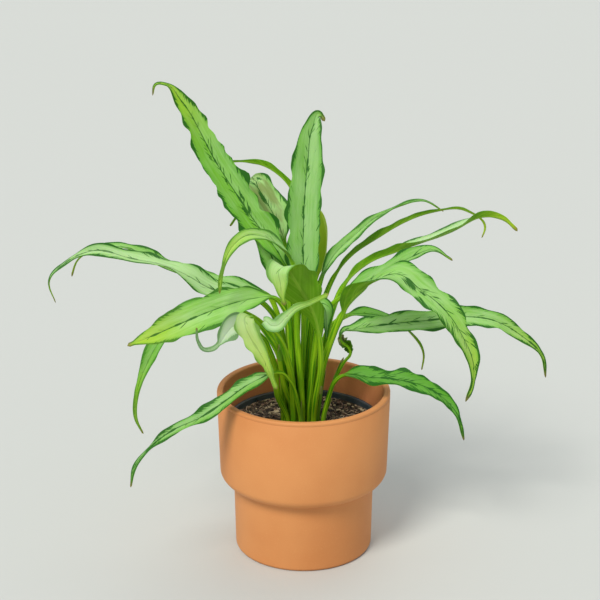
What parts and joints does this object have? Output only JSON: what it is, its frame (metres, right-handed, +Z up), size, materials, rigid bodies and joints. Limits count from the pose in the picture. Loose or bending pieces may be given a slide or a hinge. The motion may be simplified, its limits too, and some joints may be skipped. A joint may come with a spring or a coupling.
{
  "type": "potted chinese evergreen",
  "caption": "Foliage plant with long, narrow, waved, mottled leaves arching on slender stalks from potting mix, in a nursery pot inside a stepped, unglazed clay planter.",
  "frame": {"origin": "centre of the planter's underside, on the surface it stands on", "axes": "+Z up along the planter's axis; +X to the viewer's right and -Y towards the viewer, as the plant was pictured"},
  "size_m": [0.3837, 0.1683, 0.3657],
  "materials": {
    "clay": "matt",
    "pot_plastic": "satin",
    "potting_mix": "matt",
    "leaf": "satin"
  },
  "bodies": {
    "root": {"leaf_01_tall_left": "leaf", "leaf_02_upright": "leaf", "leaf_03_back_left": "leaf", "leaf_04_back_arch": "leaf", "leaf_05_small_arch": "leaf", "leaf_06_half_hidden": "leaf", "leaf_07_left_upper": "leaf", "leaf_08_left_long": "leaf", "leaf_09_left_front": "leaf", "leaf_10_left_hanging": "leaf", "leaf_11_front_curled": "leaf", "leaf_12_front_folded": "leaf", "leaf_13_front_arch": "leaf", "leaf_14_right_rising": "leaf", "leaf_15_right_arch": "leaf", "leaf_16_right_long": "leaf", "leaf_17_right_mid": "leaf", "leaf_18_right_drooping": "leaf", "leaf_19_right_reaching": "leaf", "leaf_20_right_back": "leaf", "leaf_21_right_low": "leaf", "leaf_22_left_low": "leaf", "leaf_23_back_upright": "leaf", "leaf_24_inner_short": "leaf", "leaf_25_front_crossing": "leaf", "nursery_pot": "pot_plastic", "planter": "clay", "potting_mix": "potting_mix"}
  },
  "joints": []
}
